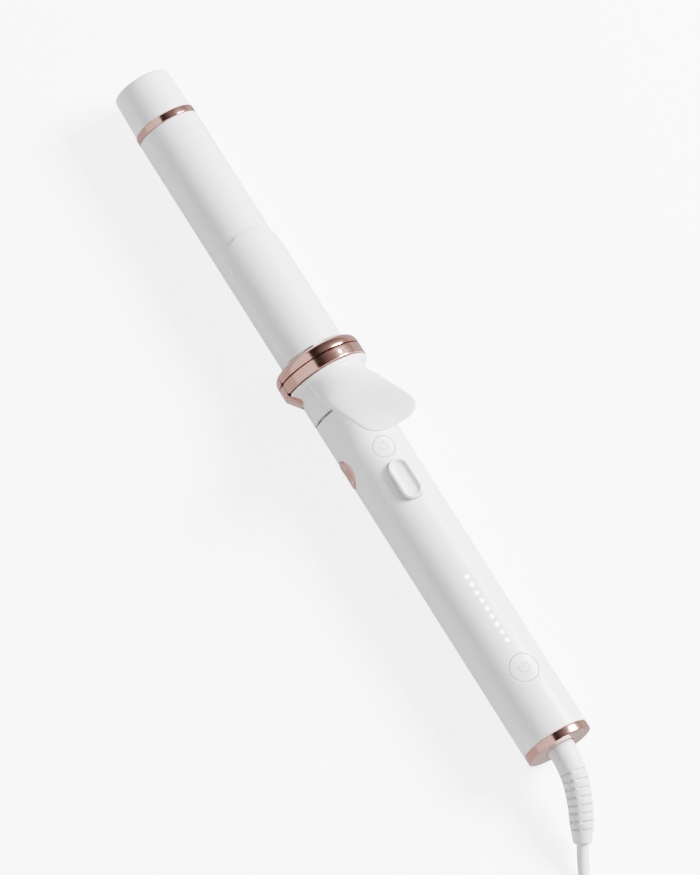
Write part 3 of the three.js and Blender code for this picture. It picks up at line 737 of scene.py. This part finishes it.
def cap_surface(name, outline, lift, edge, skirt, dish=0.0):
    """A button cap whose top follows the handle's round, with a rolled edge and a skirt."""
    count = len(outline)
    centre = Vector((sum(p[0] for p in outline) / count, sum(p[1] for p in outline) / count))
    inset = edge / max((Vector(p) - centre).length for p in outline)
    # Levels of the top: each one's share of the outline, and how far it drops for the rolled edge.
    levels = [(i / 12 * (1 - inset), 0.0) for i in range(12)]
    steps = 5
    for i in range(steps + 1):
        angle = math.pi / 2 * i / steps
        levels.append((1 - inset + inset * math.sin(angle), edge * (1 - math.cos(angle))))

    def surface(y):
        return AXIS_Z + math.sqrt(HANDLE_R**2 - y**2) + lift

    points = [(centre.x, centre.y, surface(centre.y) - dish)]
    for share, drop in levels[1:]:
        for px, py in outline:
            p = centre + (Vector((px, py)) - centre) * share
            hollow = dish * max(0.0, 1 - share**2)
            points.append((p.x, p.y, surface(p.y) - drop - hollow))
    for px, py in outline:
        points.append((px, py, AXIS_Z + skirt))
    faces = [(0, 1 + i, 1 + (i + 1) % count) for i in range(count)]
    faces += ring_faces(1, len(levels), count)
    last = 1 + (len(levels) - 1) * count
    faces.append(tuple(last + i for i in range(count)))
    return new_piece(name, points, faces, 50)


def ribbon(name, path, width, lift, closed):
    """A flat printed line on the round of the handle."""
    points = []
    count = len(path)
    for i, p in enumerate(path):
        before = path[i - 1] if closed or i else path[i]
        after = path[(i + 1) % count] if closed or i < count - 1 else path[i]
        along = (Vector(after) - Vector(before)).normalized()
        side = Vector((-along.y, along.x)) * width / 2
        for sign, drop in ((1, 0.0), (-1, 0.0), (-1, 0.12 * MM), (1, 0.12 * MM)):
            q = Vector(p) + side * sign
            points.append((q.x, q.y, AXIS_Z + math.sqrt(HANDLE_R**2 - q.y**2) + lift - drop))
    faces = strip_faces(count, closed)
    if not closed:
        faces += [(3, 2, 1, 0), tuple((count - 1) * 4 + k for k in range(4))]
    return new_piece(name, points, faces)


def arc(x, y, radius, start, end, count=40):
    return [
        (
            x + radius * math.cos(math.radians(start + (end - start) * i / count)),
            y + radius * math.sin(math.radians(start + (end - start) * i / count)),
        )
        for i in range(count + 1)
    ]


def add_buttons():
    for node, body in (("power_button", "power_key"), ("mode_button", "mode_key")):
        x, radius = middle(node, 0), (high(node)[1] - low(node)[1]) / 2
        outline = circle(x, 0, radius, 96)
        cap = cap_surface(node + "_cap", outline, -0.02 * MM, 0.3 * MM, 12.2 * MM, 0.12 * MM)
        dress(cap, body, "white_shell", node)
        lift = -0.05 * MM
        if node == "power_button":
            marks = [
                ribbon("power_mark_ring", arc(x, 0, 2.5 * MM, 38, 322), 0.42 * MM, lift, False),
                ribbon("power_mark_bar", [(x + 0.4 * MM, 0), (x + 3.0 * MM, 0)], 0.42 * MM, lift, False),
            ]
        else:
            marks = [ribbon("turn_mark_ring", arc(x, 0, 2.0 * MM, 60, 360), 0.34 * MM, lift, False)]
            for along, name in ((0.9, "a"), (-0.9, "b")):
                start = (x + 2.0 * MM, 0)
                tip = (x + 2.0 * MM + along * MM, -0.95 * MM)
                marks.append(ribbon("turn_mark_head_" + name, [start, tip], 0.3 * MM, lift, False))
        for mark in marks:
            dress(mark, body, "print_grey")


def add_rocker():
    x = middle("rocker_key", 0)
    radius = (high("rocker_key")[1] - low("rocker_key")[1]) / 2
    straight = high("rocker_key")[0] - low("rocker_key")[0] - 2 * radius
    top = high("rocker_key")[2] - AXIS_Z
    loops = [
        (radius - 0.1 * MM, 13 * MM), (radius, 15 * MM), (radius, top - 0.5 * MM),
        (radius - 0.1 * MM, top - 0.2 * MM), (radius - 0.3 * MM, top - 0.04 * MM), (radius - 0.6 * MM, top),
        (radius - 1.0 * MM, top - 0.03 * MM), (radius - 1.25 * MM, top - 0.2 * MM),
        (radius - 1.6 * MM, top - 0.75 * MM), (radius - 2.1 * MM, top - 1.2 * MM),
        (radius - 2.9 * MM, top - 1.5 * MM), (radius - 4.2 * MM, top - 1.6 * MM),
    ]
    points = []
    for r, z in loops:
        points += [(px, py, AXIS_Z + z) for px, py in stadium(x, 0, straight, r, 28)]
    faces = tube_faces(len(loops) - 1, len(points) // len(loops))
    key = new_piece("rocker_key_cap", points, faces, 60)
    dress(key, "rocker", "white_shell", "rocker_key")


def add_light_dots():
    radius = 2.5 * MM
    straight = high("light_guide")[0] - low("light_guide")[0] - 2 * radius
    outline = stadium(middle("light_guide", 0), 0, straight, radius)
    strip = outline_plate("light_guide_strip", outline, 11 * MM, 13.6 * MM)
    soften(strip, 0.2 * MM)
    dress(strip, "handle", "light_dot", "light_guide")
    for i in range(LIGHT_COUNT):
        outline = circle(light_x(i), 0, 1.0 * MM, 40)
        dot = cap_surface("light_dot_%d" % (i + 1), outline, 0.03 * MM, 0.25 * MM, 13.7 * MM)
        dress(dot, "handle", "light_dot")


# ---- Double ring, collar and lever ----


def dense_edge(profile, step):
    """The same profile with its long runs along x divided, so that rounded ends have points to bend."""
    found = []
    for a, b in zip(profile, profile[1:] + profile[:1]):
        steps = max(1, math.ceil(abs(b[0] - a[0]) / step))
        found += [tuple(Vector(a).lerp(Vector(b), i / steps)) for i in range(steps)]
    return found


def ring_half(name, profile, back):
    """Half of a trim ring. The corners where the halves meet are rounded."""
    from_deg, to_deg = (81.0, 279.0) if back else (-79.6, 79.6)
    piece = turned(name, dense_edge(profile, 0.25 * MM), 300, True, from_deg, to_deg, 1.25 * MM)
    soften(piece, 0.28 * MM, 3, 50)
    return piece


def add_rings():
    inner = RING_BORE
    start, end = low("lower_ring_front")[0], high("lower_ring_front")[0]
    band = rounded(
        [(start, inner), (start, RING_R), (end, RING_R), (end, inner)], [0, 0.45 * MM, 0.55 * MM, 0]
    )
    front = ring_half("lower_ring_front_band", band, False)
    cut(front, [dot_cutter(1.1 * MM)])
    smooth(front, 40)
    dress(front, "handle", "rose_gold", "lower_ring_front")
    back = ring_half("lower_ring_back_band", band, True)
    skirt_start = low("lower_ring_back")[0]
    cone = rounded(
        [
            (skirt_start, 17.25 * MM), (skirt_start + 0.15 * MM, 17.6 * MM),
            (start - 0.9 * MM, RING_R - 0.9 * MM), (start + 0.5 * MM, RING_R - 0.7 * MM),
            (start + 0.5 * MM, 17.25 * MM),
        ],
        [0.05 * MM, 0.4 * MM, 2.5 * MM, 0, 0],
    )
    skirt = turned("skirt", cone, 260, True, 84, 276)
    cut(back, [skirt], "UNION")
    smooth(back, 40)
    dress(back, "handle", "rose_gold", "lower_ring_back")

    low_x, high_x = low("upper_ring_front")[0], high("upper_ring_front")[0]
    dome = [(low_x, inner), (low_x, RING_R - 0.4 * MM), (low_x + 0.12 * MM, RING_R - 0.12 * MM)]
    dome.append((low_x + 0.5 * MM, RING_R))
    steps = 14
    for i in range(steps + 1):
        angle = math.pi / 2 * i / steps
        dome.append(
            (high_x - 4.4 * MM + 4.4 * MM * math.sin(angle), RING_R - 3.6 * MM * (1 - math.cos(angle)))
        )
    dome.append((high_x, inner))
    front = ring_half("upper_ring_front_band", dome, False)
    dress(front, "barrel", "rose_gold", "upper_ring_front")
    back = ring_half("upper_ring_back_band", dome, True)
    dress(back, "barrel", "rose_gold", "upper_ring_back")


def dot_frame():
    """The dot's middle on the axis line, its outward direction and the direction round the ring."""
    x, y, z = (middle("alignment_dot", k) for k in range(3))
    out = Vector((0, y, z - AXIS_Z)).normalized()
    return Vector((x, 0, AXIS_Z)), out, Vector((0, out.z, -out.y))


def dot_rings(name, rings):
    """A small disc on the ring's outside, from (radius, lift) pairs."""
    foot, out, across = dot_frame()
    count = 48
    points = []
    for radius, lift in rings:
        for i in range(count):
            angle = 2 * math.pi * i / count
            flat = Vector((radius * math.cos(angle), 0, 0)) + across * (radius * math.sin(angle))
            points.append(tuple(foot + out * (RING_R + lift) + flat))
    faces = [tuple(range(count))]
    faces += ring_faces(0, len(rings), count)
    faces.append(tuple((len(rings) - 1) * count + i for i in range(count)))
    return new_piece(name, points, faces, 50)


def dot_cutter(radius):
    return dot_rings("cutter", [(radius, 2 * MM), (radius, -1.6 * MM)])


def add_alignment_dot():
    rings = [(0.35, 0.1), (0.6, 0.07), (0.85, -0.03), (0.98, -0.2), (1.0, -1.4)]
    dot = dot_rings("alignment_dot_lens", [(r * MM, lift * MM) for r, lift in rings])
    dress(dot, "handle", "light_dot", "alignment_dot")


# Sections of the thumb rest in mm, root to free end: the distance from the tail and the height
# above the axis of its top and of its underside, its half width, and how far its sides drop.
REST_SECTIONS = [
    (213.0, 22.0, 208.0, 15.9, 14.6, 5.4), (210.2, 21.4, 204.5, 15.9, 14.6, 5.2),
    (206.5, 21.9, 202.2, 15.9, 14.8, 4.6), (202.0, 24.0, 200.2, 17.4, 15.2, 3.5),
    (197.4, 26.5, 196.9, 21.6, 15.7, 2.3), (192.9, 29.2, 191.3, 25.2, 16.0, 1.3),
    (187.0, 33.8, 185.4, 30.1, 16.1, 0.2), (181.0, 38.6, 179.6, 35.4, 16.0, -0.8),
    (175.2, 42.9, 174.2, 39.9, 15.8, -1.5), (170.8, 45.2, 170.2, 42.4, 14.8, -1.7),
    (167.9, 46.2, 167.6, 43.6, 12.6, -1.4), (166.0, 46.6, 166.0, 44.3, 9.2, -0.8),
    (165.3, 46.7, 165.4, 44.9, 5.0, -0.3),
]


def spline(marks, share):
    """A smooth curve through the rows of marks, at a share of its length."""
    at = share * (len(marks) - 1)
    i = min(int(at), len(marks) - 2)
    t = at - i
    rows = (marks[max(0, min(len(marks) - 1, k))] for k in (i - 1, i, i + 1, i + 2))
    return [between(*four, t) for four in zip(*rows)]


def add_lever():
    facets = 44
    rows = 84
    points = []
    for i in range(rows + 1):
        top_s, top_h, low_s, low_h, width, crown = spline(REST_SECTIONS, i / rows)
        top = Vector((from_tail(top_s), 0, AXIS_Z + top_h * MM))
        under = Vector((from_tail(low_s), 0, AXIS_Z + low_h * MM))
        for j in range(facets):
            angle = 2 * math.pi * j / facets
            across = math.copysign(abs(math.cos(angle)) ** 0.75, math.cos(angle))
            rise = math.copysign(abs(math.sin(angle)) ** 0.85, math.sin(angle))
            p = under.lerp(top, (1 + rise) / 2)
            p += Vector((0, across * width * MM, -crown * MM * across * across))
            points.append(tuple(p))
    lever = new_piece("thumb_lever_body", points, tube_faces(rows, facets))

    start = low("collar_underside")[0]
    inner = SADDLE_BORE
    saddle = turned(
        "saddle",
        [(start, inner), (start, HANDLE_R), (from_tail(212.2), HANDLE_R), (from_tail(212.2), inner)],
        200, True, -100, 100,
    )
    flare = turned(
        "flare",
        [
            (from_tail(203), inner), (from_tail(203), HANDLE_R - 0.1 * MM), (from_tail(206), 17.3 * MM),
            (from_tail(208.5), 18.3 * MM), (from_tail(210), 19.6 * MM), (from_tail(211), 21.3 * MM),
            (from_tail(211.5), 22.0 * MM), (from_tail(213.2), 22.15 * MM), (from_tail(213.2), 19.6 * MM),
            (from_tail(212.2), inner),
        ],
        200, True, -79, 79,
    )
    join(lever, [saddle, flare])
    modify(lever, "REMESH", mode="VOXEL", voxel_size=0.42 * MM)
    modify(lever, "SMOOTH", factor=0.5, iterations=8)
    apply_modifiers(lever)
    smooth(lever, 180)
    dress(lever, "lever", "white_shell", "thumb_lever")


def add_collar():
    start, end = low("collar_underside")[0], high("collar_underside")[0]
    profile = rounded(
        [(start, 15.6 * MM), (start, HANDLE_R), (end, HANDLE_R), (end, 15.6 * MM)],
        [0, 0.3 * MM, 0.15 * MM, 0],
    )
    piece = turned("collar_underside_shell", profile, 200, True, 109, 251)
    soften(piece, 0.25 * MM, 3, 50)
    dress(piece, "handle", "white_shell", "collar_underside")


# ---- Barrel, clip and tip ----


def add_barrel():
    start, end = low("barrel_tube")[0], high("barrel_tube")[0]
    inner = BARREL_R - 1.4 * MM
    profile = rounded(
        [(start, inner), (start, BARREL_R), (end, BARREL_R), (end, inner)], [0, 0.2 * MM, 0.25 * MM, 0]
    )
    tube = turned("barrel_tube_skin", profile, 220)
    slot_start, slot_end, side = start - 5 * MM, from_tail(229.8), 7.3 * MM
    slot = outline_plate(
        "cutter",
        [(slot_start, -side), (slot_end, -side), (slot_end, side), (slot_start, side)],
        *CUT_HEIGHTS,
    )
    cut(tube, [slot])
    smooth(tube, 40)
    dress(tube, "barrel", "white_barrel", "barrel_tube")

    start, end = low("tip_ring")[0], high("tip_ring")[0]
    profile = rounded(
        [(start, 10 * MM), (start, BARREL_R + 0.12 * MM), (end, BARREL_R + 0.12 * MM), (end, 10 * MM)],
        [0, 0.35 * MM, 0.45 * MM, 0],
    )
    ring = turned("tip_ring_band", profile, 220)
    dress(ring, "barrel", "rose_gold", "tip_ring")

    start = end + 0.3 * MM
    profile = [(start, 6.6 * MM)] + rounded(
        [(start, 6.6 * MM), (start, 15.45 * MM), (TIP_X - 1 * MM, 14.75 * MM), (TIP_X, 0.0)],
        [0, 0.25 * MM, 0, 0],
        False,
    )[1:-2]
    roll = 2.4 * MM
    steps = 10
    for i in range(steps + 1):
        angle = math.pi / 2 * i / steps
        profile.append((TIP_X - roll + roll * math.sin(angle), 14.78 * MM - roll * (1 - math.cos(angle))))
    profile += [(TIP_X, 8 * MM), (TIP_X, 0.0)]
    inside = [(TIP_X - 4 * MM, 0.0), (TIP_X - 4 * MM, 6.6 * MM)]
    cap = turned("tip_cap_shell", profile + inside, 220, True)
    dress(cap, "barrel", "white_shell", "tip_cap")


def add_clip():
    start, end = from_tail(226.75), high("hair_clip")[0]
    inner = BARREL_R + 0.3 * MM
    outer = inner + 1.3 * MM
    reach_deg = 68.0
    rows, columns = 90, 72
    corner = 20 * MM

    def side_limit(x):
        """The clip's half angle at x: full along its length, then round at its free end."""
        back = end - x
        if back >= corner:
            return reach_deg
        share = 1 - back / corner
        return reach_deg * (1 - share**2.3) ** (1 / 2.3)

    points, grids = [], []
    for radius in (inner, outer):
        grid = []
        for i in range(rows + 1):
            t = i / rows
            x = start + (end - start) * (1 - (1 - t) ** 1.6)
            limit = max(side_limit(min(x, end - 0.02 * MM)), 2.0)
            row = []
            for j in range(columns + 1):
                share = 2 * j / columns - 1
                angle = math.radians(limit * share)
                r = radius
                if radius == outer:
                    edge = min((1 - abs(share)) * math.radians(limit) * outer, end - x)
                    fall = max(0.0, 1 - edge / (1.5 * MM))
                    r = outer - 0.75 * MM * fall**2
                row.append(len(points))
                points.append((x, r * math.sin(angle), AXIS_Z + r * math.cos(angle)))
            grid.append(row)
        grids.append(grid)
    faces = []
    for grid in grids:
        for i in range(rows):
            for j in range(columns):
                faces.append((grid[i][j], grid[i][j + 1], grid[i + 1][j + 1], grid[i + 1][j]))
    a, b = grids
    for i in range(rows):
        faces.append((a[i][0], a[i + 1][0], b[i + 1][0], b[i][0]))
        faces.append((a[i][columns], b[i][columns], b[i + 1][columns], a[i + 1][columns]))
    for j in range(columns):
        faces.append((a[0][j], b[0][j], b[0][j + 1], a[0][j + 1]))
        faces.append((a[rows][j], a[rows][j + 1], b[rows][j + 1], b[rows][j]))
    clip = new_piece("hair_clip_blade", points, faces, 50)
    back, front, side = from_tail(225.75), from_tail(228.9), 2.7 * MM
    heel = outline_plate(
        "heel", [(back, -side), (front, -side), (front, side), (back, side)], 10.7 * MM, 16.8 * MM
    )
    cut(clip, [heel], "UNION")
    smooth(clip, 50)
    dress(clip, "clip", "white_barrel", "hair_clip")


# ---- Strain relief, tie and plug ----


def lead_curve():
    """A function from a distance along the lead's route to the point there and its direction."""
    marks = [Vector(p) * MM for p in ROUTE]
    fine = []
    for i in range(len(marks) - 1):
        p, q = marks[max(0, i - 1)], marks[i]
        r, s = marks[i + 1], marks[min(len(marks) - 1, i + 2)]
        for k in range(16):
            fine.append(between(p, q, r, s, k / 16))
    fine.append(marks[-1])
    lengths = [0.0]
    for a, b in zip(fine, fine[1:]):
        lengths.append(lengths[-1] + (b - a).length)

    def at(distance):
        distance = max(0.0, min(distance, lengths[-1] - 1e-9))
        i = next(k for k in range(len(fine) - 1) if lengths[k + 1] > distance)
        t = (distance - lengths[i]) / (lengths[i + 1] - lengths[i])
        return fine[i].lerp(fine[i + 1], t), (fine[i + 1] - fine[i]).normalized()

    return at


def add_strain_relief():
    """A tapered rubber sleeve with four lines of slots, two of them on the camera's side."""
    at = lead_curve()
    rows, columns = 320, 96
    slots_from, pitch, count = 12 * MM, 3.85 * MM, 8
    camera_side = math.radians(90) + TURN
    points = []
    for i in range(rows + 1):
        distance = RELIEF_LENGTH * i / rows
        centre, along = at(distance)
        across = Vector((0, 0, 1)).cross(along).normalized()
        up = along.cross(across)
        share = distance / RELIEF_LENGTH
        radius = (6.9 - 1.3 * share - 1.2 * max(0.0, (share - 0.8) / 0.2)) * MM
        end = max(0.0, 1 - (RELIEF_LENGTH - distance) / (1.0 * MM))
        radius -= 0.7 * MM * end * end
        slot = (distance - slots_from) / pitch
        lengthwise = max(0.0, 1 - (abs(slot % 1.0 - 0.5) / 0.17) ** 4) if 0 < slot < count else 0.0
        for j in range(columns):
            angle = 2 * math.pi * j / columns
            from_web = (angle - camera_side) % (math.pi / 2)
            from_web = min(from_web, math.pi / 2 - from_web)
            sideways = min(1.0, max(0.0, (math.degrees(from_web) - 7) / 5))
            groove = 1.7 * MM * min(1.0, 2 * lengthwise) * sideways
            r = radius - groove
            points.append(tuple(centre + across * (r * math.cos(angle)) + up * (r * math.sin(angle))))
    sleeve = new_piece("strain_relief_sleeve", points, tube_faces(rows, columns), 60)
    dress(sleeve, "handle", "white_rubber", "strain_relief")
    return sleeve


def add_tie():
    """A strap round the middle of the hank."""
    y_half = TURN_RADII[0] + CORD_R + 0.9 * MM
    bottom = low("cord_tie")[2] + 0.5 * MM
    top = HANK_LAYERS * 2 * CORD_R + 0.9 * MM
    path = []
    corner = 3.0 * MM
    centres = [
        (y_half - corner, top - corner, 90, 0), (y_half - corner, bottom + corner, 0, -90),
        (-y_half + corner, bottom + corner, -90, -180), (-y_half + corner, top - corner, 180, 90),
    ]
    for y, z, start, end in centres:
        for i in range(9):
            angle = math.radians(start + (end - start) * i / 8)
            path.append((y + corner * math.cos(angle), z + corner * math.sin(angle)))
    half, thick = 5.8 * MM, 0.45 * MM
    points = []
    count = len(path)
    for i, (y, z) in enumerate(path):
        before, after = Vector(path[i - 1]), Vector(path[(i + 1) % count])
        along = (after - before).normalized()
        out = Vector((-along.y, along.x))
        for x, lift in ((-half, 0), (half, 0), (half, thick), (-half, thick)):
            points.append((HANK_X + x, y + out.x * lift, z + out.y * lift))
    strap = new_piece("cord_tie_strap", points, strip_faces(count, True), 40)
    soften(strap, 0.12 * MM, 2, 50)
    dress(strap, "handle", "black_plastic", "cord_tie")
    return strap


def add_plug():
    """A moulded two-blade plug with finger grips. It narrows towards the lead."""
    x0, x1 = low("plug_body")[0], high("plug_body")[0]
    y, z = middle("plug_body", 1), middle("plug_body", 2)
    half_y = (high("plug_body")[1] - low("plug_body")[1]) / 2
    half_z = (high("plug_body")[2] - low("plug_body")[2]) / 2
    rows, columns = 90, 56
    points = []
    for i in range(rows + 1):
        share = i / rows
        x = x0 + (x1 - x0) * share
        taper = max(0.0, (share - 0.5) / 0.5)
        ease = taper * taper * (3 - 2 * taper)
        wide = half_y * (1 - 0.52 * ease)
        tall = half_z * (1 - 0.42 * ease)
        nose = max(0.0, 1 - share / 0.04)
        wide -= 0.9 * MM * nose * nose
        tall -= 0.9 * MM * nose * nose
        grip = 0.0
        if 0.14 < share < 0.5:
            grip = 0.45 * MM * (0.5 - 0.5 * math.cos(2 * math.pi * (share - 0.14) / 0.06))
        for j in range(columns):
            angle = 2 * math.pi * j / columns
            power = 0.55 + 0.45 * ease
            cy = math.copysign(abs(math.cos(angle)) ** power, math.cos(angle))
            cz = math.copysign(abs(math.sin(angle)) ** power, math.sin(angle))
            side = max(0.0, abs(math.cos(angle)) - 0.8) / 0.2
            points.append((x, y + cy * (wide - grip * side), z + cz * tall))
    body = new_piece("plug_body_moulding", points, tube_faces(rows, columns), 50)
    dress(body, "handle", "white_rubber", "plug_body")
    blades = []
    for node in ("plug_blade_left", "plug_blade_right"):
        a, b = low(node), high(node)
        outline = [
            (b[0], a[1]), (a[0] + 1.2 * MM, a[1]), (a[0], a[1] + 0.4 * MM),
            (a[0], b[1] - 0.4 * MM), (a[0] + 1.2 * MM, b[1]), (b[0], b[1]),
        ]
        blade = outline_plate(node + "_strip", outline, a[2] - AXIS_Z, b[2] - AXIS_Z)
        soften(blade, 0.2 * MM, 2)
        dress(blade, "handle", "brass", node)
        blades.append(blade)
    return [body, *blades]


# ---- The scene ----

MATERIALS = add_materials()
add_camera()
LEAD, LEAD_EXIT, LEAD_LENGTH = add_cord()
add_casing()
add_tail_cap()
add_medallion()
add_buttons()
add_rocker()
add_light_dots()
add_rings()
add_alignment_dot()
add_lever()
add_collar()
add_barrel()
add_clip()
RELIEF = add_strain_relief()
TIE = add_tie()
PLUG = add_plug()

for entry in frame["record"]["subparts"]:
    node = frame["nodes"].get(entry["node"])
    if node is not None:
        node.data.materials.clear()
        node.data.materials.append(MATERIALS[entry["material_slot"]])

add_floor()
add_lights()
